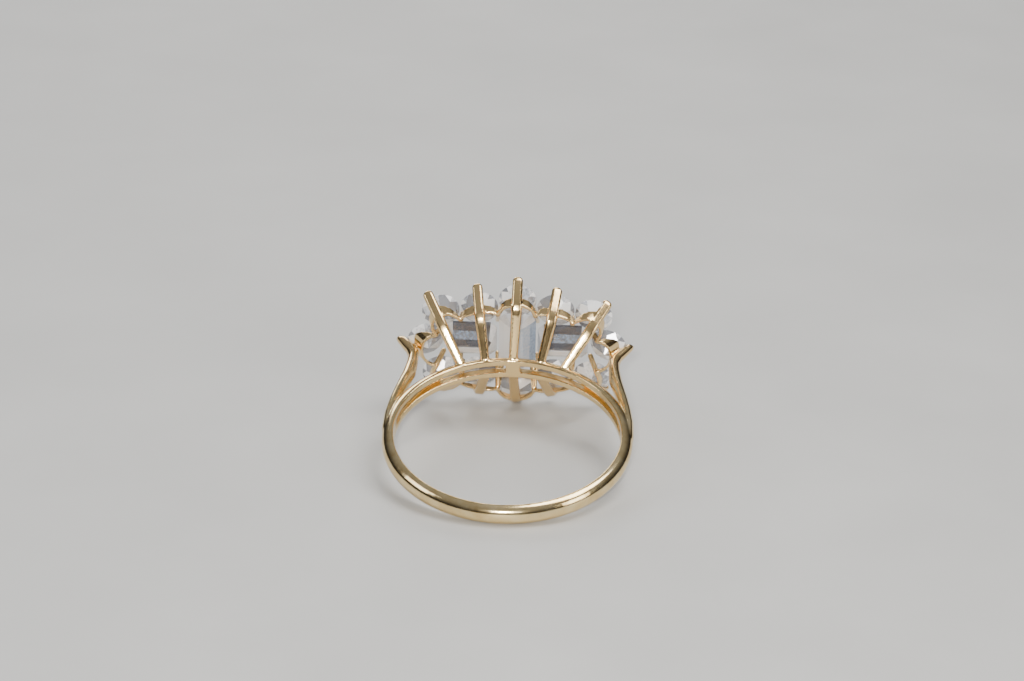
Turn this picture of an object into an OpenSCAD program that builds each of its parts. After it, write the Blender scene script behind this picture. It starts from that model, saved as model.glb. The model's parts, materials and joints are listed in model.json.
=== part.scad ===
// A cluster ring that lies on its side: a gold mount with twelve round stones and three step-cut stones.
// Sizes are in millimetres. The ring is drawn with its finger axis along Z and its head towards +Y,
// and is then tilted to the pose in which it rests on its band and its lowest claw.

/* [Finger hole and band] */
// Radius of the finger hole
hole_r = 8.6; // [8.4:0.1:8.8]
// Width of the band, along the finger
band_w = 1.65; // [1.5:0.05:1.8]
// Thickness of the band at the back of the finger
band_t = 0.83; // [0.75:0.01:0.9]
// Thickness of the band at its sides, below the shoulders
side_t = 0.9; // [0.85:0.01:1]
// Thickness of the bridge under the head
bridge_t = 0.62; // [0.55:0.01:0.7]
// Width of the slot between the two rails of the bridge
slot_w = 0.62; // [0.5:0.01:0.7]
// Width of the post that joins the rails in the middle of the bridge
post_w = 1.1; // [0.8:0.1:1.4]

/* [Round stones] */
// Diameter of a round stone
round_d = 2.94; // [2.8:0.02:2.96]
// Height of the crown, girdle to table
round_crown = 0.44; // [0.35:0.01:0.5]
// Depth of the pavilion, girdle to culet
round_pavilion = 1.29; // [1.2:0.01:1.35]

/* [Step-cut stones] */
// Width of the centre stone, across the finger
centre_w = 2.9; // [2.6:0.05:2.95]
// Length of the centre stone, along the finger
centre_l = 4.9; // [4.6:0.05:4.95]
// Length of a side stone, across the finger
side_l = 3.95; // [3.6:0.05:4]
// Width of a side stone, along the finger
side_w = 3.1; // [2.8:0.05:3.15]
// Height of the girdle of the step-cut stones above the finger axis
step_girdle_y = 12.5; // [12.4:0.05:12.7]

/* [Claws] */
// Width of a claw arm at its bend and tip
arm_w = 0.82; // [0.7:0.01:0.88]
// Thickness of a claw arm at its bend
arm_t = 0.5; // [0.45:0.01:0.55]
// Radius of the small claws in the notches between the stones
claw_r = 0.22; // [0.18:0.01:0.25]
// Gap between a stone and its metal
stone_gap = 0.04; // [0.03:0.01:0.06]

/* [Hidden] */
GOLD = "goldenrod";
CLEAR = "aliceblue";
ROUND_COUNT = 12;

// The outer face of the band is round in section. Its ring is off centre, which thins the back
band_face_r = band_w / 2 + 0.02;
band_crest_r = hole_r + side_t;
band_shift = side_t - band_t;
band_face_c = band_crest_r - band_face_r;
band_chamfer = 0.07;
// Above the feet of the shoulders, a disc that is off centre the other way thins the bridge
thin_y = 3.2;
thin_r = band_crest_r + 0.06;
thin_shift = thin_r - hole_r - bridge_t;
// The slot goes through the bridge and fades out as a groove where its disc leaves the shoulders
groove_r = 8.55;
groove_shift = 0.9;

// The head sits a little to the right of the middle of the band
head_shift = 0.15;

// Round stones of one quarter of the chain.
// Columns: x across the finger, z along the finger, height of the girdle, outward lean in degrees,
// depth below the girdle and outward reach of the middle of the wall's top edge
ROUND_ROWS = [
    [0, 4.05, 12.22, 0, 0.7, 0.84],
    [2.98, 3.15, 12.3, 3, 0.7, 0.84],
    [5.97, 3.0, 11.98, 8, 0.55, 0.95],
    [7.2, 0, 12.15, 15, 0.38, 1.3]
];
round_r = round_d / 2;
table_r = 0.56 * round_r;
star_r = 0.79 * round_r;
lower_r = 0.82 * round_r;
girdle_t = 0.06;
round_side = 16;

// Step cut. Columns: inset of the ring of edges, height above the middle of the girdle.
// The last ring is the keel, whose inset comes from the stone's width.
STEP_RINGS = [
    [0.62, 0.44],
    [0.28, 0.29],
    [0, 0.05],
    [0, -0.05],
    [0.45, -0.6],
    [0.95, -1.08]
];
keel_y = -1.35;
keel_half = 0.05;
corner_cut = 0.45;
long_inset = 0.4;
side_x = 3.575;

// Claw arms, left to right, as they stand above the middle plane. The lower arms mirror them.
// Columns: x at the rail, then x, y, z at the bend, then x, y, z at the middle of the tip
ARM_ROWS = [
    [-3.95, -5.8, 9.95, 3.2, -6.95, 12.0, 4.38],
    [-2.15, -2.85, 10.4, 3.75, -3.15, 12.5, 4.9],
    [0, 0, 10.6, 4.5, 0, 12.42, 5.73],
    [2.15, 2.75, 10.4, 3.7, 3.05, 12.5, 4.8],
    [3.95, 5.75, 9.95, 3.1, 6.95, 12.0, 4.08]
];
arm_base_w = 0.7;
arm_base_t = 0.46;
arm_base_z = 0.62;
arm_bend = 0.55;
arm_bevel = 0.14;
tip_dome = 0.34;

// Shoulder and end claw on the right side, as flat sections from the band up.
// Columns: height y, outer x, inner x, half thickness along the finger. The first rows lie inside the band
SHOULDER_ROWS = [
    [-2.2, 9.15, 8.95, 0.3],
    [-0.6, 9.45, 8.95, 0.45],
    [0.6, 9.56, 8.9, 0.6],
    [2.2, 9.53, 8.8, 0.7],
    [3.8, 9.31, 8.5, 0.74],
    [5.3, 9.01, 8.15, 0.74],
    [6.6, 8.72, 7.78, 0.7],
    [7.6, 8.53, 7.48, 0.62],
    [8.8, 8.32, 7.42, 0.54],
    [9.7, 8.26, 7.42, 0.48],
    [10.4, 8.45, 7.42, 0.44],
    [11.1, 8.88, 7.8, 0.42],
    [11.8, 9.28, 8.35, 0.38],
    [12.05, 9.33, 8.55, 0.28],
    [12.18, 9.22, 8.75, 0.15]
];
shoulder_sides = 16;

// The scalloped wall under the outer half of each round stone, measured down from the girdle:
// top edge at the notches, lower edge, and how far the lower edge arches outwards
wall_end_top = 1.3;
wall_bottom = 1.6;
wall_bottom_out = 0.7;
wall_t = 0.24;
wall_lap = 0.1;
wall_steps = 10;
notch_down = 1.42;
// Small claws stand in the inner notch between two stones and end this far above the girdles
claw_up = 0.36;
// How far they lean in, for each notch of a quarter
NOTCH_REACH = [0.74, 0.74, 0.55];
// Thinner claws lean on from the first two notches to the middle row. Columns: x and z of the tip
INNER_ROWS = [
    [1.58, 1.62],
    [4.45, 1.7]
];
inner_r = 0.18;
inner_tip_y = 12.8;

// Vector helpers
function unit(v) = v / norm(v);
function blend(a, b, t) = a + (b - a) * t;
function curve(a, b, c, t) = blend(blend(a, b, t), blend(b, c, t), t);

// Triangles of a closed tube of rings, each with the same number of points
function tube_faces(rings, sides) = concat(
    [
        for (r = [0 : rings - 2], s = [0 : sides - 1], half = [0, 1])
            let (n = (s + 1) % sides)
            half == 0
                ? [r * sides + s, r * sides + n, (r + 1) * sides + n]
                : [r * sides + s, (r + 1) * sides + n, (r + 1) * sides + s]
    ],
    [[for (s = [sides - 1 : -1 : 0]) s]],
    [[for (s = [0 : sides - 1]) (rings - 1) * sides + s]]
);

// Round stones
function mirror_row(row, sx, sz) = [sx * row[0], sz * row[1], row[2], sx * row[3], row[4], row[5]];
ROUND_SEATS = [
    ROUND_ROWS[0],
    ROUND_ROWS[1],
    ROUND_ROWS[2],
    ROUND_ROWS[3],
    mirror_row(ROUND_ROWS[2], 1, -1),
    mirror_row(ROUND_ROWS[1], 1, -1),
    mirror_row(ROUND_ROWS[0], 1, -1),
    mirror_row(ROUND_ROWS[1], -1, -1),
    mirror_row(ROUND_ROWS[2], -1, -1),
    mirror_row(ROUND_ROWS[3], -1, 1),
    mirror_row(ROUND_ROWS[2], -1, 1),
    mirror_row(ROUND_ROWS[1], -1, 1)
];

function girdle_point(row) = [row[0] + head_shift, row[2], row[1]];
function stone_axis(row) = [sin(row[3]), cos(row[3]), 0];
function below_girdle(row, depth) = girdle_point(row) - stone_axis(row) * depth;

module at_seat(row) {
    translate(girdle_point(row)) rotate([0, 0, -row[3]]) rotate([-90, 0, 0]) children();
}

// Height of a facet that runs from the girdle to a smaller ring, at a corner half a side away
function crown_rise(r) =
    girdle_t / 2 + (round_r - r * cos(180 / 8)) * (round_crown - girdle_t / 2) / (round_r - table_r);
function pavilion_drop(r) =
    -round_pavilion + r * cos(180 / 8) * (round_pavilion - girdle_t / 2) / round_r;

function ring_points(r, h, count, turn) =
    [for (k = [0 : count - 1]) [r * cos(turn + k * 360 / count), r * sin(turn + k * 360 / count), h]];

// Points of a brilliant cut: table, crown corners, upper girdle, lower girdle, pavilion corners, culet
BRILLIANT_POINTS = concat(
    ring_points(table_r, round_crown, 8, 0),
    ring_points(star_r, crown_rise(star_r), 8, 22.5),
    ring_points(round_r, girdle_t / 2, round_side, 0),
    ring_points(round_r, -girdle_t / 2, round_side, 0),
    ring_points(lower_r, pavilion_drop(lower_r), 8, 22.5),
    [[0, 0, -round_pavilion]]
);
BRILLIANT_FACES = concat(
    [[7, 6, 5, 4, 3, 2, 1, 0]],
    [for (k = [0 : 7]) [k, (k + 1) % 8, 8 + k]],
    [for (k = [0 : 7]) let (g = 16 + 2 * k) [k, 8 + k, g]],
    [for (k = [0 : 7]) let (g = 16 + 2 * k, m = 8 + (k + 7) % 8) [k, g, m]],
    [for (k = [0 : 7]) let (g = 16 + 2 * k) [8 + k, g + 1, g]],
    [for (k = [0 : 7]) let (g = 16 + 2 * k, n = 16 + (2 * k + 2) % 16) [8 + k, n, g + 1]],
    [for (k = [0 : 15]) let (n = (k + 1) % 16) [16 + k, 16 + n, 32 + n]],
    [for (k = [0 : 15]) let (n = (k + 1) % 16) [16 + k, 32 + n, 32 + k]],
    [for (k = [0 : 7]) let (g = 32 + 2 * k) [48 + k, g, g + 1]],
    [for (k = [0 : 7]) let (g = 33 + 2 * k, n = 32 + (2 * k + 2) % 16) [48 + k, g, n]],
    [for (k = [0 : 7]) let (g = 32 + 2 * k) [56, g, 48 + k]],
    [for (k = [0 : 7]) let (g = 32 + 2 * k) [56, 48 + (k + 7) % 8, g]]
);

module round_stone(index) {
    color(CLEAR) at_seat(ROUND_SEATS[index]) polyhedron(points = BRILLIANT_POINTS, faces = BRILLIANT_FACES);
}

// Room that the metal leaves for a round stone
module round_room(row) {
    g = stone_gap;
    at_seat(row) rotate_extrude($fn = 96) polygon([
        [0, -round_pavilion - g],
        [lower_r, pavilion_drop(lower_r) - g],
        [round_r + g, -girdle_t / 2 - g],
        [round_r + g, girdle_t / 2 + g],
        [star_r + g, crown_rise(star_r) + g],
        [table_r, round_crown + g],
        [0, round_crown + g]
    ]);
}

// Step-cut stones, drawn with the table up and the long side along Y
function step_ring(half_w, half_l, inset, cut, h) =
    let (w = half_w - inset, l = half_l - inset * long_inset)
    [
        [w, l - cut, h], [w - cut, l, h], [cut - w, l, h], [-w, l - cut, h],
        [-w, cut - l, h], [cut - w, -l, h], [w - cut, -l, h], [w, cut - l, h]
    ];

function step_points(w, l, grow) =
    let (keel_inset = w / 2 - keel_half)
    concat(
        [
            for (ring = STEP_RINGS)
                each step_ring(w / 2 + grow, l / 2 + grow, ring[0],
                    corner_cut * (1 - ring[0] / keel_inset) + keel_half * 0.5,
                    ring[1] + grow * sign(ring[1]))
        ],
        step_ring(w / 2 + grow, l / 2 + grow, keel_inset, keel_half * 0.5, keel_y - grow)
    );

module step_stone(w, l, grow = 0) {
    polyhedron(points = step_points(w, l, grow), faces = tube_faces(len(STEP_RINGS) + 1, 8));
}

module at_centre_stone() {
    translate([head_shift, step_girdle_y, 0]) rotate([-90, 0, 0]) children();
}

module at_side_stone(side) {
    translate([head_shift + side * side_x, step_girdle_y, 0]) rotate([-90, 0, 0]) rotate([0, 0, 90]) children();
}

module centre_stone() {
    color(CLEAR) at_centre_stone() step_stone(centre_w, centre_l);
}

module side_stone(side) {
    color(CLEAR) at_side_stone(side) step_stone(side_w, side_l);
}

// Band, bridge, slot and post
module band() {
    half_w = band_w / 2;
    edge = [hole_r, half_w - band_chamfer];
    difference() {
        translate([0, band_shift, 0]) rotate_extrude($fn = 180) intersection() {
            translate([band_face_c, 0]) circle(r = band_face_r, $fn = 96);
            translate([hole_r - 0.4, -half_w]) square([2, band_w]);
        }
        difference() {
            translate([-thin_r, thin_y, -band_w]) cube([2 * thin_r, thin_r, 2 * band_w]);
            translate([0, -thin_shift, -2 * band_w]) cylinder(r = thin_r, h = 4 * band_w, $fn = 180);
        }
        rotate_extrude($fn = 180) polygon([
            [0, -band_w],
            [hole_r + half_w + band_chamfer, -band_w],
            [edge[0], -edge[1]],
            edge,
            [hole_r + half_w + band_chamfer, band_w],
            [0, band_w]
        ]);
        difference() {
            translate([0, groove_shift, -slot_w / 2]) cylinder(r = groove_r, h = slot_w, $fn = 180);
            translate([-post_w / 2, 0, -slot_w]) cube([post_w, 2 * hole_r, 2 * slot_w]);
        }
    }
}

// Shoulders with their end claws
function shoulder_points(side) = [
    for (row = SHOULDER_ROWS, k = [0 : shoulder_sides - 1])
        let (turn = 360 * (k + 0.5) / shoulder_sides, half = (row[1] - row[2]) / 2)
        [side * ((row[1] + row[2]) / 2 + half * cos(turn)), row[0], row[3] * sin(turn)]
];

module shoulder(side) {
    polyhedron(
        points = shoulder_points(side),
        faces = [
            for (f = tube_faces(len(SHOULDER_ROWS), shoulder_sides))
                side > 0 ? f : [for (k = [len(f) - 1 : -1 : 0]) f[k]]
        ]
    );
}

// Claw arms
function arm_base(row) =
    [row[0], sqrt(pow(hole_r + bridge_t / 2, 2) - row[0] * row[0]), arm_base_z];
function arm_knee(row) = [row[1] + head_shift, row[2], row[3]];
function arm_tip(row) = [row[4] + head_shift, row[5], row[6]];

// Stations along an arm. Columns: point, size of the section along the bar from 0 to 1, shrink of the dome
function arm_stations(row) =
    let (
        a = arm_base(row),
        b = arm_knee(row),
        c = arm_tip(row),
        in = b - unit(b - a) * arm_bend,
        out = b + unit(c - b) * arm_bend,
        way = unit(c - b)
    )
    [
        [a, 0, 1],
        [in, 1, 1],
        [curve(in, b, out, 0.33), 1, 1],
        [curve(in, b, out, 0.67), 1, 1],
        [out, 1, 1],
        [c, 1, 1],
        [c + way * tip_dome * 0.5, 1, 0.87],
        [c + way * tip_dome * 0.85, 1, 0.55],
        [c + way * tip_dome, 1, 0.15]
    ];

// Section of an arm: a bar with bevelled edges, half sizes w and t
function arm_section(w, t, bevel) = [
    [w, t - bevel], [w - bevel, t], [bevel - w, t], [-w, t - bevel],
    [-w, bevel - t], [bevel - w, -t], [w - bevel, -t], [w, bevel - t]
];

function arm_points(row) =
    let (
        stations = arm_stations(row),
        across = unit(cross(arm_knee(row) - arm_base(row), arm_tip(row) - arm_knee(row))),
        last = len(stations) - 1
    )
    [
        for (i = [0 : last])
            let (
                way = unit(stations[min(i + 1, last)][0] - stations[max(i - 1, 0)][0]),
                face = cross(across, way),
                size = stations[i][1],
                shrink = stations[i][2]
            )
            for (p = arm_section(
                shrink * blend(arm_base_w, arm_w, size) / 2,
                shrink * blend(arm_base_t, arm_t, size) / 2,
                shrink * arm_bevel
            ))
                stations[i][0] + across * p[0] + face * p[1]
    ];

module arm(row) {
    polyhedron(points = arm_points(row), faces = tube_faces(len(arm_stations(row)), 8));
}

module arms() {
    for (row = ARM_ROWS) {
        arm(row);
        mirror([0, 0, 1]) arm(row);
    }
}

// A round claw from its foot to the middle of its domed end
module claw(a, b, r) {
    v = b - a;
    translate(a) rotate([0, acos(v[2] / norm(v)), atan2(v[1], v[0])]) rotate_extrude($fn = 24) polygon(concat(
        [[0, 0], [r, 0]],
        [for (turn = [0 : 22.5 : 90]) [r * cos(turn), norm(v) + r * sin(turn)]]
    ));
}

// A point of an arch, t degrees along it, drawn in by the trim
function arch(centre, reach, rise, t, trim = 0) =
    centre + reach * (1 - trim / norm(reach)) * cos(t) + rise * (1 - trim / norm(rise)) * sin(t);

// The wall under one stone: both of its edges arch from notch to notch, the upper one higher in the middle
function scallop_points(before, row, after) =
    let (
        middle = below_girdle(row, wall_bottom),
        from = (below_girdle(before, wall_bottom) + middle) / 2,
        to = (below_girdle(after, wall_bottom) + middle) / 2,
        chord = unit(to - from),
        outward = unit([-chord[2], 0, chord[0]]),
        start = from + unit(below_girdle(before, wall_bottom) - middle) * wall_lap,
        end = to + unit(below_girdle(after, wall_bottom) - middle) * wall_lap,
        centre = (start + end) / 2,
        reach = start - centre,
        rise = middle + outward * wall_bottom_out - centre,
        top_centre = centre + stone_axis(row) * (wall_bottom - wall_end_top),
        top_rise = below_girdle(row, row[4]) + outward * row[5] - top_centre
    )
    [
        for (k = [0 : wall_steps])
            let (t = 180 * k / wall_steps)
            each [
                arch(centre, reach, rise, t),
                arch(top_centre, reach, top_rise, t),
                arch(top_centre, reach, top_rise, t, wall_t),
                arch(centre, reach, rise, t, wall_t)
            ]
    ];

module scallop(before, row, after) {
    polyhedron(points = scallop_points(before, row, after), faces = tube_faces(wall_steps + 1, 4));
}

module scallops() {
    for (i = [0 : ROUND_COUNT - 1])
        scallop(
            ROUND_SEATS[(i + ROUND_COUNT - 1) % ROUND_COUNT],
            ROUND_SEATS[i],
            ROUND_SEATS[(i + 1) % ROUND_COUNT]
        );
}

// The claws in the notch between two stones: one holds both, and one may lean on to the middle row
module notch(row_a, row_b, reach, inner) {
    a = below_girdle(row_a, notch_down);
    b = below_girdle(row_b, notch_down);
    foot = (a + b) / 2;
    flat = unit([b[0] - a[0], 0, b[2] - a[2]]);
    side = sign(foot[2]) * sign(b[0] - foot[0]);
    inward = cross(flat, [0, -side, 0]);
    rise = (row_a[2] + row_b[2]) / 2 + claw_up - foot[1];
    claw(foot, foot + inward * reach + [0, rise, 0], claw_r);
    for (tip = inner) claw(foot, [tip[0] + head_shift, inner_tip_y, tip[1]], inner_r);
}

module notches() {
    for (j = [0 : 2], sx = [-1, 1], sz = [-1, 1])
        notch(
            mirror_row(ROUND_ROWS[j], sx, sz),
            mirror_row(ROUND_ROWS[j + 1], sx, sz),
            NOTCH_REACH[j],
            j < len(INNER_ROWS) ? [[sx * INNER_ROWS[j][0], sz * INNER_ROWS[j][1]]] : []
        );
}

module mount() {
    color(GOLD) difference() {
        union() {
            band();
            for (side = [-1, 1]) shoulder(side);
            arms();
            scallops();
            notches();
        }
        for (row = ROUND_SEATS) round_room(row);
        at_centre_stone() step_stone(centre_w, centre_l, stone_gap);
        for (side = [-1, 1]) at_side_stone(side) step_stone(side_w, side_l, stone_gap);
    }
}

// Rest pose: the tilt at which the lower centre claw and the band's lower rim reach the same height
LOWEST_ARM = [for (p = arm_points(ARM_ROWS[2])) [p[0], p[1], -p[2]]];
function claw_low(tilt) = min([for (p = LOWEST_ARM) p[1] * sin(tilt) + p[2] * cos(tilt)]);
function claw_far(tilt) = max([for (p = LOWEST_ARM) p[1] * cos(tilt) - p[2] * sin(tilt)]);
function band_low(tilt) = -(band_face_c - band_shift) * sin(tilt) - band_face_r;
function settle(low, high, steps) =
    let (middle = (low + high) / 2)
    steps == 0
        ? middle
        : claw_low(middle) < band_low(middle)
            ? settle(middle, high, steps - 1)
            : settle(low, middle, steps - 1);
rest_tilt = settle(5, 25, 24);
rest_lift = -band_low(rest_tilt);
rest_back = ((band_face_c - band_shift) * cos(rest_tilt) + band_face_r - claw_far(rest_tilt)) / 2;

module at_rest() {
    translate([0, rest_back, rest_lift]) rotate([rest_tilt, 0, 0]) children();
}

at_rest() mount();
at_rest() centre_stone();
at_rest() side_stone(-1);  // side_stone_left
at_rest() side_stone(1);  // side_stone_right
for (i = [0 : ROUND_COUNT - 1])
    at_rest() round_stone(i);
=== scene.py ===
"""Looks of the cluster ring: a soft-edged gold mount, cut stones, a pale floor and the photo's camera."""
import json
import math
import random
import bmesh
import bpy
from mathutils import Matrix, Vector


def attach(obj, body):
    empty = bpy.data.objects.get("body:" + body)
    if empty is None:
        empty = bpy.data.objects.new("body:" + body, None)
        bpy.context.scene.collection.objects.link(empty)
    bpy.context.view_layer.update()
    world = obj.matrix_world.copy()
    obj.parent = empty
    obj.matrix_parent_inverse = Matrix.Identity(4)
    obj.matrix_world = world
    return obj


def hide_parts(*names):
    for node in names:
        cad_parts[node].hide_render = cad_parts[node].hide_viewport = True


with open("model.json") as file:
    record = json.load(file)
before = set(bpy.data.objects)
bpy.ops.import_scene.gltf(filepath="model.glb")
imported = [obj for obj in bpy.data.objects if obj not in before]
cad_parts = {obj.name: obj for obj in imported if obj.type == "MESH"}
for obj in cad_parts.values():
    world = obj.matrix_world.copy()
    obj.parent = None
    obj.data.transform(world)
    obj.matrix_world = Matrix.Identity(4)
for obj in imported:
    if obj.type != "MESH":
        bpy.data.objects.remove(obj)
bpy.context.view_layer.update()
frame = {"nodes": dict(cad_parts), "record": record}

MM = 0.001

# The ring's own frame: finger hole's middle, X across the finger, Y towards the head, Z along the finger
HOLE = frame["record"]["mounts"][0]
FINGER_AXIS = Vector(HOLE["axis"]).normalized()
ACROSS = Vector((1, 0, 0))
TO_HEAD = FINGER_AXIS.cross(ACROSS)
RING_TURN = Matrix((ACROSS, TO_HEAD, FINGER_AXIS)).transposed().to_4x4()
RING = Matrix.Translation(Vector(HOLE["pos_m"])) @ RING_TURN

# The camera as fitted to the photo, in the ring's frame: degrees and millimetres
CAMERA_PITCH = 37.263
CAMERA_SWING = -2.506
CAMERA_ROLL = -0.635
CAMERA_DISTANCE = 250.0
CAMERA_SIDE = -0.369
CAMERA_RISE = -7.451
FOCAL_PIXELS = 3307.5
PHOTO_WIDTH = 1024
SENSOR_WIDTH = 36.0

# A small lamp just above the camera glints on the round band: its place in the ring's frame, in degrees
# and millimetres, then its size in metres and its power
LAMP_RISE = 41.0
LAMP_DISTANCE = 240
LAMP_SIZE = 0.016
LAMP_POWER = 0.5
LAMP_AIM = (0, 0, 0.005)
LAMP_COLOUR = (1.0, 0.98, 0.94)

# Soft lights, in metres and watts. Columns: name, place, width and height, power, colour
LIGHTS = [
    ("window", (0.11, 0.0, 0.28), (0.16, 0.18), 0.75, (1.0, 0.98, 0.95)),
    ("back_card", (-0.05, 0.26, 0.14), (0.20, 0.10), 0.35, (1.0, 0.98, 0.95)),
    ("right_card", (0.24, -0.14, 0.12), (0.10, 0.14), 0.25, (1.0, 0.97, 0.92)),
    ("left_card", (-0.24, -0.06, 0.16), (0.12, 0.12), 0.18, (0.95, 0.97, 1.0)),
]

# The room fades from dark at the floor to grey overhead
ROOM_LOW = (0.25, (0.03, 0.03, 0.033, 1))
ROOM_HIGH = (0.95, (0.34, 0.345, 0.36, 1))

# Round stones of a quarter of the chain: x, z, height of the girdle, outward lean in degrees
HEAD_SHIFT = 0.15
SEAT_ROWS = [
    (0, 4.05, 12.22, 0),
    (2.98, 3.15, 12.3, 3),
    (5.97, 3.0, 11.98, 8),
    (7.2, 0, 12.15, 15),
]
ROUND_RADIUS = 1.47
CROWN = 0.44
PAVILION = 1.29
TABLE_SHARE = 0.56
STAR_SHARE = 0.79
LOWER_SHARE = 0.82
GIRDLE = 0.06
GIRDLE_SIDES = 64
FACET_SEED = 7
CHAIN_SEED = 4
TURN_SPREAD = 45

# Step-cut stones: whether the keel runs across the finger, and the sparkle values of the window steps,
# painted reflections that alternate step by step.
# Ends and tables are pale grey, and one side is painted bright as if lit. A facet is an end or a table by how
# far it faces along or aside
STEP_LOOKS = {
    "centre_stone": (False, (0.4, 0.46)),
    "side_stone_left": (True, (0.08, 0.33)),
    "side_stone_right": (True, (0.08, 0.33)),
}
PALE_GREY = 0.56
PAINTED_LIT_SIDE = 0.9
END_FACING = 0.4
TABLE_FACING = 0.05

# Painted bounce light: from here on towards the head the gold is tinted warmer, for light reflected from gold
# to gold among the head's parts, in millimetres along Y
HEAD_START = 3.0
HEAD_FADE = 4.0

# How much of the haze the crown facets lack
CROWN_CLARITY = 0.6

# Gold colours from worn to bright, and the warm painted bounce light at the head
GOLD_STOPS = [
    (0.3, (0.80, 0.58, 0.27, 1)),
    (0.52, (0.89, 0.69, 0.36, 1)),
    (0.75, (0.94, 0.76, 0.44, 1)),
]
BOUNCE_GOLD = (0.95, 0.67, 0.32, 1)
MOST_BOUNCE = 0.8

# Gold skin: cell and crumb in millimetres, smoothing passes, share of the triangles that is kept
SKIN_CELL = 0.06
SKIN_SMOOTHING = 6
SKIN_KEPT = 0.4
CRUMB = 0.001


class Wire:
    """A shader socket that can be used in Python expressions."""

    def __init__(self, finish, socket):
        self.finish = finish
        self.socket = socket

    def math(self, operation, *values):
        return self.finish.node("ShaderNodeMath", {"operation": operation}, dict(enumerate(values)))

    def __add__(self, other):
        return self.math("ADD", self, other)

    def __radd__(self, other):
        return self.math("ADD", other, self)

    def __sub__(self, other):
        return self.math("SUBTRACT", self, other)

    def __rsub__(self, other):
        return self.math("SUBTRACT", other, self)

    def __mul__(self, other):
        return self.math("MULTIPLY", self, other)

    def clamped(self, low, high):
        return self.math("MINIMUM", self.math("MAXIMUM", self, low), high)


class Finish:
    """A material that is put together from nodes."""

    def __init__(self, name):
        self.material = bpy.data.materials.new(name)
        self.material.use_nodes = True
        self.tree = self.material.node_tree
        self.tree.nodes.clear()
        self.output = self.tree.nodes.new("ShaderNodeOutputMaterial")

    def node(self, kind, settings=None, inputs=None, output=0):
        """Adds a node: its settings first, then the values or links of its sockets."""
        made = self.tree.nodes.new(kind)
        for key, value in (settings or {}).items():
            if key == "stops":
                self.set_stops(made.color_ramp, value)
            else:
                setattr(made, key, value)
        for key, value in (inputs or {}).items():
            if isinstance(value, Wire):
                self.tree.links.new(value.socket, made.inputs[key])
            else:
                made.inputs[key].default_value = value
        return Wire(self, made.outputs[output])

    def set_stops(self, ramp, stops):
        while len(ramp.elements) < len(stops):
            ramp.elements.new(1.0)
        for element, (place, colour) in zip(ramp.elements, stops):
            element.position = place
            element.color = colour

    def place(self, scale):
        """Object coordinates, scaled so that one unit is 1 / scale metres."""
        coordinates = self.node("ShaderNodeTexCoord", output="Object")
        return self.node("ShaderNodeMapping", inputs={"Vector": coordinates, "Scale": (scale, scale, scale)})

    def noise(self, scale, detail, roughness=0.5):
        return self.node(
            "ShaderNodeTexNoise",
            inputs={"Vector": self.place(scale), "Scale": 1.0, "Detail": detail, "Roughness": roughness},
        )

    def finish_with(self, surface):
        self.tree.links.new(surface.socket, self.output.inputs["Surface"])
        return self.material


def gold_finish():
    """Pale yellow gold, polished and lightly worn, with fine scratches. Towards the head it is tinted warmer,
    painted bounce light between the gold parts.
    """
    gold = Finish("pale_gold")
    patches = gold.noise(900, 3.0)
    scratches = gold.node(
        "ShaderNodeTexNoise",
        inputs={
            "Vector": gold.node(
                "ShaderNodeMapping",
                inputs={
                    "Vector": gold.node("ShaderNodeTexCoord", output="Object"),
                    "Rotation": (0.2, 0.3, 0.7),
                    "Scale": (14000, 1800, 1800),
                },
            ),
            "Scale": 1.0,
            "Detail": 2.0,
        },
    )
    grain = gold.noise(6000, 2.0)
    colour = gold.node(
        "ShaderNodeValToRGB",
        {"stops": GOLD_STOPS},
        {"Fac": patches},
    )
    forward = gold.node(
        "ShaderNodeSeparateXYZ",
        inputs={"Vector": gold.node("ShaderNodeTexCoord", output="Object")},
        output=1,
    )
    # Painted bounce light: the gold is tinted warmer towards the head
    painted_bounce = ((forward - HEAD_START * MM) * (1 / (HEAD_FADE * MM))).clamped(0.0, MOST_BOUNCE)
    colour = gold.node(
        "ShaderNodeMix",
        {"data_type": "RGBA"},
        {"Factor": painted_bounce, 6: colour, 7: BOUNCE_GOLD},
        output=2,
    )
    rough = (0.09 + patches * 0.08 + scratches * 0.06).clamped(0.06, 0.4)
    relief = scratches * 0.6 + grain * 0.4
    bump = gold.node("ShaderNodeBump", inputs={"Height": relief, "Strength": 0.05, "Distance": 0.00004})
    return gold.finish_with(gold.node(
        "ShaderNodeBsdfPrincipled",
        inputs={"Base Color": colour, "Metallic": 1.0, "Roughness": rough, "Normal": bump},
    ))


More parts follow.
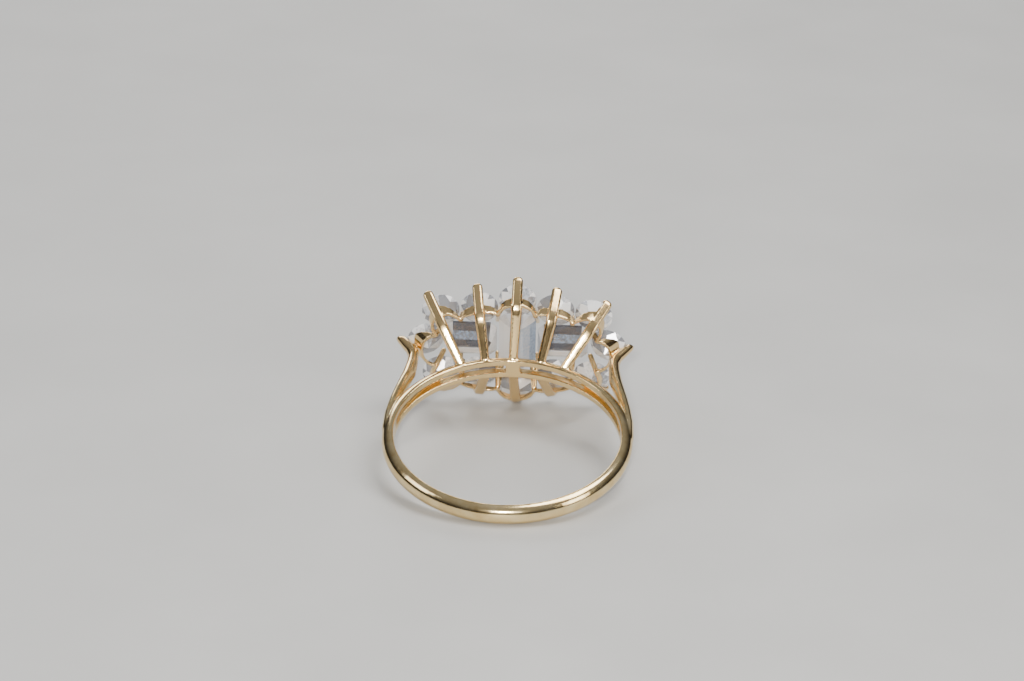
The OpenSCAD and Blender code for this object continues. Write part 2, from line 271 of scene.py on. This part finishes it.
def stone_finish(name, haze, pebble, shade, tint):
    """Clear cut stone with painted sparkle: some facets are painted white and others dark, by a value of each
    facet, drawn by chance for round stones, for glints of the lights and reflections of the dark room.

    The haze is the milky share of a dark facet, and what a bright facet has on top of it; the milk is partly
    real cloudiness and partly painted sparkle. The pebble is how strongly fine streaks lighten and darken the
    painted sparkle. The shade and the tint are the painted colours of the dark and the bluish facets.
    """
    stone = Finish(name)
    facet = stone.node("ShaderNodeAttribute", {"attribute_name": "facet_chance"}, output="Fac")
    turn = stone.node("ShaderNodeAttribute", {"attribute_name": "stone_chance"}, output="Fac")
    flash = stone.node("ShaderNodeMath", {"operation": "FRACT"}, {0: facet + turn})
    streaks = stone.noise(5200, 5.0, 0.7)
    smear = stone.noise(3600, 2.0)
    # Painted sparkle: white facets stand in for glints of the lights, dark ones for reflections of the dark
    # room
    painted_sparkle = (flash * 2.2 - 0.6 + (streaks - 0.5) * pebble).clamped(0.0, 1.0)
    colour = stone.node(
        "ShaderNodeValToRGB",
        {"stops": [(0.05, shade), (0.3, tint), (0.55, (0.76, 0.76, 0.78, 1)), (0.8, (0.98, 0.98, 0.99, 1))]},
        {"Fac": painted_sparkle},
    )
    clear = stone.node(
        "ShaderNodeBsdfPrincipled",
        inputs={
            "Base Color": (0.97, 0.98, 1.0, 1),
            "Roughness": (smear * 0.06 - 0.02).clamped(0.0, 0.08),
            "IOR": 2.1,
            "Transmission Weight": 1.0,
        },
    )
    milk_and_sparkle = stone.node(
        "ShaderNodeBsdfPrincipled",
        inputs={"Base Color": colour, "Roughness": 0.12 + smear * 0.1, "IOR": 2.1},
    )
    crown = stone.node("ShaderNodeAttribute", {"attribute_name": "crown"}, output="Fac")
    cloud_and_sparkle = (painted_sparkle * haze[1] + haze[0]) * (1.0 - crown * CROWN_CLARITY)
    return stone.finish_with(stone.node(
        "ShaderNodeMixShader",
        inputs={"Fac": cloud_and_sparkle.clamped(0.0, 0.95), 1: clear, 2: milk_and_sparkle},
    ))


def floor_finish():
    """Pale matt table top with a faint mottle."""
    top = Finish("pale_table")
    mottle = top.noise(60, 4.0)
    colour = top.node(
        "ShaderNodeValToRGB",
        {"stops": [(0.3, (0.50, 0.50, 0.49, 1)), (0.7, (0.55, 0.55, 0.54, 1))]},
        {"Fac": mottle},
    )
    return top.finish_with(top.node(
        "ShaderNodeBsdfPrincipled",
        inputs={"Base Color": colour, "Roughness": 0.55 + mottle * 0.1},
    ))


def new_piece(name, mesh, material, smooth):
    mesh.name = name
    mesh.materials.clear()
    mesh.materials.append(material)
    if smooth:
        mesh.shade_smooth()
    else:
        mesh.shade_flat()
    piece = bpy.data.objects.new(name, mesh)
    bpy.context.scene.collection.objects.link(piece)
    return piece


def baked_mesh(thing):
    """The plain mesh of an object with its modifiers applied."""
    graph = bpy.context.evaluated_depsgraph_get()
    return bpy.data.meshes.new_from_object(thing.evaluated_get(graph))


def make_whole(mesh):
    """Leaves one closed skin: collapses edges without length and drops all but the largest island."""
    skin = bmesh.new()
    skin.from_mesh(mesh)
    bmesh.ops.dissolve_degenerate(skin, dist=CRUMB * MM, edges=skin.edges[:])
    waiting = set(skin.faces)
    largest = []
    while waiting:
        island = [waiting.pop()]
        for face in island:
            for edge in face.edges:
                fresh = [other for other in edge.link_faces if other in waiting]
                waiting.difference_update(fresh)
                island.extend(fresh)
        if len(island) > len(largest):
            largest = island
    kept = set(largest)
    bmesh.ops.delete(skin, geom=[face for face in skin.faces if face not in kept], context="FACES")
    skin.to_mesh(mesh)
    skin.free()


def gold_mount(material):
    """The mount with its edges melted and polished over, as on a cast and worn ring."""
    loose = frame["nodes"]["mount"].data.copy()
    joined = bmesh.new()
    joined.from_mesh(loose)
    bmesh.ops.remove_doubles(joined, verts=joined.verts, dist=0.5e-6)
    joined.to_mesh(loose)
    joined.free()
    blank = bpy.data.objects.new("mount_blank", loose)
    bpy.context.scene.collection.objects.link(blank)
    skin = blank.modifiers.new("skin", "REMESH")
    skin.mode = "VOXEL"
    skin.voxel_size = SKIN_CELL * MM
    polish = blank.modifiers.new("polish", "SMOOTH")
    polish.factor = 0.5
    polish.iterations = SKIN_SMOOTHING
    thinned = blank.modifiers.new("thinned", "DECIMATE")
    thinned.ratio = SKIN_KEPT
    mesh = baked_mesh(blank)
    make_whole(mesh)
    bpy.data.objects.remove(blank)
    piece = new_piece("gold_mount", mesh, material, True)
    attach(piece, "root")
    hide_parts("mount")


def facet_planes():
    """Three points for each facet of a brilliant: table, stars, mains and halves, then the pavilion."""
    def ring(radius, height, turn):
        return Vector((radius * math.cos(math.radians(turn)), radius * math.sin(math.radians(turn)), height))

    half_girdle = GIRDLE / 2
    table = TABLE_SHARE * ROUND_RADIUS
    star = STAR_SHARE * ROUND_RADIUS
    lower = LOWER_SHARE * ROUND_RADIUS
    reach = math.cos(math.radians(22.5))
    star_height = half_girdle + (ROUND_RADIUS - star * reach) * (CROWN - half_girdle) / (ROUND_RADIUS - table)
    lower_height = -PAVILION + lower * reach * (PAVILION - half_girdle) / ROUND_RADIUS
    culet = Vector((0, 0, -PAVILION))
    yield ring(table, CROWN, 0), ring(table, CROWN, 90), ring(table, CROWN, 180)
    for step in range(8):
        turn = 45 * step
        star_point = ring(star, star_height, turn + 22.5)
        yield ring(table, CROWN, turn), star_point, ring(table, CROWN, turn + 45)
        yield ring(table, CROWN, turn), ring(star, star_height, turn - 22.5), star_point
        yield culet, ring(lower, lower_height, turn + 22.5), ring(lower, lower_height, turn - 22.5)
        for side in (0, 22.5):
            first = turn + side
            yield (
                star_point,
                ring(ROUND_RADIUS, half_girdle, first),
                ring(ROUND_RADIUS, half_girdle, first + 22.5),
            )
            yield (
                ring(lower, lower_height, turn + 22.5),
                ring(ROUND_RADIUS, -half_girdle, first + 22.5),
                ring(ROUND_RADIUS, -half_girdle, first),
            )


def mark_facets(mesh, seed):
    """Gives each facet its own chance value, which sets how its sparkle is painted. Triangles of one flat
    facet share it.
    """
    chance = mesh.attributes.new("facet_chance", "FLOAT", "FACE")
    values = {}
    draw = random.Random(seed)
    for face in mesh.polygons:
        key = tuple(round(v * 20) for v in face.normal)
        if key not in values:
            values[key] = draw.random()
        chance.data[face.index].value = values[key]


def mark_crown(mesh, table_way):
    """Marks the facets on the table's side, which are clearer than those of the pavilion."""
    crown = mesh.attributes.new("crown", "FLOAT", "FACE")
    for face in mesh.polygons:
        crown.data[face.index].value = 1.0 if face.normal.dot(table_way) > TABLE_FACING else 0.0


def mark_steps(mesh, keel_across, painted_windows):
    """Sparkle values of a step-cut stone: pale grey ends and table, a side painted bright as if lit, and a
    side of window steps painted as dark reflections.
    """
    chance = mesh.attributes.new("facet_chance", "FLOAT", "FACE")
    to_ring = RING.to_3x3().transposed()
    for face in mesh.polygons:
        way = to_ring @ face.normal
        along, aside = (way.x, way.z) if keel_across else (way.z, way.x)
        if abs(along) > END_FACING or abs(aside) < TABLE_FACING:
            value = PALE_GREY
        elif aside < 0:
            # Painted light: facets on this side are painted bright, as if lit
            value = PAINTED_LIT_SIDE
        else:
            # Painted reflection: the window steps take the given dark and lighter values by turns
            value = painted_windows[round(aside * 10) % 2]
        chance.data[face.index].value = value


def cut_brilliant(name):
    """A round rod, cut facet by facet into a brilliant."""
    rod = bmesh.new()
    bmesh.ops.create_cone(
        rod, cap_ends=True, segments=GIRDLE_SIDES,
        radius1=ROUND_RADIUS, radius2=ROUND_RADIUS, depth=2 * PAVILION + 1,
    )
    for a, b, c in facet_planes():
        normal = (b - a).cross(c - a).normalized()
        if normal.dot(a) < 0:
            normal.negate()
        cut = bmesh.ops.bisect_plane(
            rod, geom=rod.verts[:] + rod.edges[:] + rod.faces[:], dist=1e-5,
            plane_co=a, plane_no=normal, clear_outer=True,
        )
        edges = [e for e in cut["geom_cut"] if isinstance(e, bmesh.types.BMEdge) and e.is_boundary]
        if len(edges) > 2:
            bmesh.ops.edgenet_fill(rod, edges=edges)
    bmesh.ops.recalc_face_normals(rod, faces=rod.faces)
    mesh = bpy.data.meshes.new(name)
    rod.to_mesh(mesh)
    rod.free()
    mark_facets(mesh, FACET_SEED)
    mark_crown(mesh, Vector((0, 0, 1)))
    return mesh


def seat_rows():
    """The twelve seats, clockwise from the top: x, z, height and lean in the ring's frame."""
    top, side, corner, end = SEAT_ROWS
    yield from SEAT_ROWS
    for x, z, y, lean in (corner, side, top):
        yield x, -z, y, lean
    for x, z, y, lean in (side, corner):
        yield -x, -z, y, -lean
    for x, z, y, lean in (end, corner, side):
        yield -x, z, y, -lean


def chain_tree(template, material):
    """Geometry nodes: one stone on each seat, along its axis, each turned a little by chance."""
    tree = bpy.data.node_groups.new("stone_chain", "GeometryNodeTree")
    face = tree.interface
    face.new_socket("Geometry", in_out="INPUT", socket_type="NodeSocketGeometry")
    size = face.new_socket("Stone Size", in_out="INPUT", socket_type="NodeSocketFloat")
    turn = face.new_socket("Turn Spread", in_out="INPUT", socket_type="NodeSocketFloat")
    seed = face.new_socket("Seed", in_out="INPUT", socket_type="NodeSocketInt")
    face.new_socket("Geometry", in_out="OUTPUT", socket_type="NodeSocketGeometry")

    def add(kind, settings=(), links=()):
        made = tree.nodes.new(kind)
        for key, value in settings:
            setattr(made, key, value)
        for key, value in links:
            if isinstance(value, bpy.types.NodeSocket):
                tree.links.new(value, made.inputs[key])
            else:
                made.inputs[key].default_value = value
        return made

    start = add("NodeGroupInput")
    stone = add("GeometryNodeObjectInfo", [("transform_space", "ORIGINAL")], [("Object", template)])
    axis = add("GeometryNodeInputNamedAttribute", [("data_type", "FLOAT_VECTOR")], [("Name", "table_way")])
    upright = add(
        "FunctionNodeAlignRotationToVector", [("axis", "Z")], [("Vector", axis.outputs["Attribute"])],
    )
    chance = add(
        "FunctionNodeRandomValue", [("data_type", "FLOAT")],
        [(3, start.outputs["Turn Spread"]), ("Seed", start.outputs["Seed"])],
    )
    spin = add("FunctionNodeAxisAngleToRotation", (), [("Axis", (0, 0, 1)), ("Angle", chance.outputs[1])])
    turned = add(
        "FunctionNodeRotateRotation", [("rotation_space", "LOCAL")],
        [("Rotation", upright.outputs[0]), ("Rotate By", spin.outputs[0])],
    )
    stones = add(
        "GeometryNodeInstanceOnPoints", (),
        [
            ("Points", start.outputs["Geometry"]), ("Instance", stone.outputs["Geometry"]),
            ("Rotation", turned.outputs[0]), ("Scale", start.outputs["Stone Size"]),
        ],
    )
    luck = add(
        "FunctionNodeRandomValue", [("data_type", "FLOAT")], [("Seed", start.outputs["Seed"])],
    )
    marked = add(
        "GeometryNodeStoreNamedAttribute", [("data_type", "FLOAT"), ("domain", "INSTANCE")],
        [("Geometry", stones.outputs[0]), ("Name", "stone_chance"), ("Value", luck.outputs[1])],
    )
    real = add("GeometryNodeRealizeInstances", (), [("Geometry", marked.outputs[0])])
    dressed = add(
        "GeometryNodeSetMaterial", (), [("Geometry", real.outputs[0]), ("Material", material)],
    )
    add("NodeGroupOutput", (), [("Geometry", dressed.outputs[0])])
    return tree, {"size": size.identifier, "turn": turn.identifier, "seed": seed.identifier}


def round_stones(material):
    """The closed chain of twelve brilliants."""
    template = bpy.data.objects.new("brilliant", cut_brilliant("brilliant"))
    bpy.context.scene.collection.objects.link(template)
    seats = bpy.data.meshes.new("seats")
    places = []
    ways = []
    for x, z, y, lean in seat_rows():
        places.append(RING @ (Vector((x + HEAD_SHIFT, y, z)) * MM))
        way = Vector((math.sin(math.radians(lean)), math.cos(math.radians(lean)), 0))
        ways.append(RING.to_3x3() @ way)
    seats.from_pydata(places, [], [])
    attribute = seats.attributes.new("table_way", "FLOAT_VECTOR", "POINT")
    for i, way in enumerate(ways):
        attribute.data[i].vector = way
    holder = bpy.data.objects.new("stone_seats", seats)
    bpy.context.scene.collection.objects.link(holder)
    tree, sockets = chain_tree(template, material)
    chain = holder.modifiers.new("chain", "NODES")
    chain.node_group = tree
    chain[sockets["size"]] = MM
    chain[sockets["turn"]] = math.radians(TURN_SPREAD)
    chain[sockets["seed"]] = CHAIN_SEED
    holder.update_tag()
    mesh = baked_mesh(holder)
    bpy.data.objects.remove(holder)
    bpy.data.objects.remove(template)
    piece = new_piece("round_stones", mesh, material, False)
    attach(piece, "root")
    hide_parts(*["round_stone_%d" % number for number in range(1, 13)])


def step_stones(material):
    """The middle row: the built stones with their triangles joined into clean facets."""
    for name in STEP_LOOKS:
        mesh = frame["nodes"][name].data.copy()
        joined = bmesh.new()
        joined.from_mesh(mesh)
        bmesh.ops.remove_doubles(joined, verts=joined.verts, dist=0.5e-6)
        bmesh.ops.dissolve_limit(
            joined, angle_limit=math.radians(1), verts=joined.verts, edges=joined.edges,
        )
        joined.to_mesh(mesh)
        joined.free()
        mark_steps(mesh, *STEP_LOOKS[name])
        mark_crown(mesh, TO_HEAD)
        piece = new_piece("cut_" + name, mesh, material, False)
        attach(piece, "root")
        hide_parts(name)


def camera():
    """The photo's camera, fitted in the ring's frame."""
    pitch = math.radians(CAMERA_PITCH)
    swing = Matrix.Rotation(math.radians(CAMERA_SWING), 3, "Z")
    look = Matrix(((1, 0, 0), (0, math.sin(pitch), math.cos(pitch)), (0, math.cos(pitch), -math.sin(pitch))))
    roll = Matrix.Rotation(math.radians(CAMERA_ROLL), 3, "Z")
    axes = roll @ look @ swing
    offset = Vector((CAMERA_SIDE, CAMERA_RISE, CAMERA_DISTANCE)) * MM
    place = -(axes.transposed() @ offset)
    turn = Matrix((axes[0], axes[1], -axes[2])).transposed()
    lens = bpy.data.cameras.new("camera")
    lens.sensor_width = SENSOR_WIDTH
    lens.lens = FOCAL_PIXELS / PHOTO_WIDTH * SENSOR_WIDTH
    lens.clip_start = 0.01
    lens.clip_end = 10
    eye = bpy.data.objects.new("camera", lens)
    eye.matrix_world = RING @ (Matrix.Translation(place) @ turn.to_4x4())
    bpy.context.scene.collection.objects.link(eye)
    bpy.context.scene.camera = eye


def soft_light(name, place, size, power, colour, aim=(0, 0, 0)):
    lamp = bpy.data.lights.new(name, "AREA")
    lamp.shape = "RECTANGLE"
    lamp.size = size[0]
    lamp.size_y = size[1]
    lamp.energy = power
    lamp.color = colour
    holder = bpy.data.objects.new(name, lamp)
    holder.location = place
    holder.rotation_euler = (Vector(aim) - Vector(place)).to_track_quat("-Z", "Y").to_euler()
    bpy.context.scene.collection.objects.link(holder)


def studio():
    """A pale floor, soft lights from above, behind and the sides, and a small lamp by the camera."""
    table = bpy.data.meshes.new("table_top")
    table.from_pydata([(-1, -1, 0), (1, -1, 0), (1, 1, 0), (-1, 1, 0)], [], [(0, 1, 2, 3)])
    new_piece("table_top", table, floor_finish(), False)
    rise = math.radians(LAMP_RISE)
    lamp_place = RING @ (Vector((0, -math.cos(rise), math.sin(rise))) * LAMP_DISTANCE * MM)
    for light in LIGHTS:
        soft_light(*light)
    soft_light("lamp", lamp_place, (LAMP_SIZE, LAMP_SIZE), LAMP_POWER, LAMP_COLOUR, LAMP_AIM)
    world = bpy.data.worlds.new("room")
    world.use_nodes = True
    nodes = world.node_tree.nodes
    links = world.node_tree.links
    sky = nodes.new("ShaderNodeTexCoord")
    parts = nodes.new("ShaderNodeSeparateXYZ")
    fade = nodes.new("ShaderNodeValToRGB")
    for stop, (place, colour) in zip(fade.color_ramp.elements, (ROOM_LOW, ROOM_HIGH)):
        stop.position = place
        stop.color = colour
    links.new(sky.outputs["Generated"], parts.inputs["Vector"])
    links.new(parts.outputs["Z"], fade.inputs["Fac"])
    links.new(fade.outputs["Color"], nodes["Background"].inputs["Color"])
    bpy.context.scene.world = world


GOLD = gold_finish()
gold_mount(GOLD)
# Painted sparkle colours: shade and tint are the painted colours of the dark and the bluish facets
round_stones(stone_finish("clear_stone", (0.55, 0.4), 1.6, (0.36, 0.37, 0.40, 1), (0.66, 0.71, 0.80, 1)))
step_stones(stone_finish("step_cut_stone", (0.62, 0.3), 0.5, (0.05, 0.05, 0.07, 1), (0.42, 0.56, 0.78, 1)))
camera()
studio()
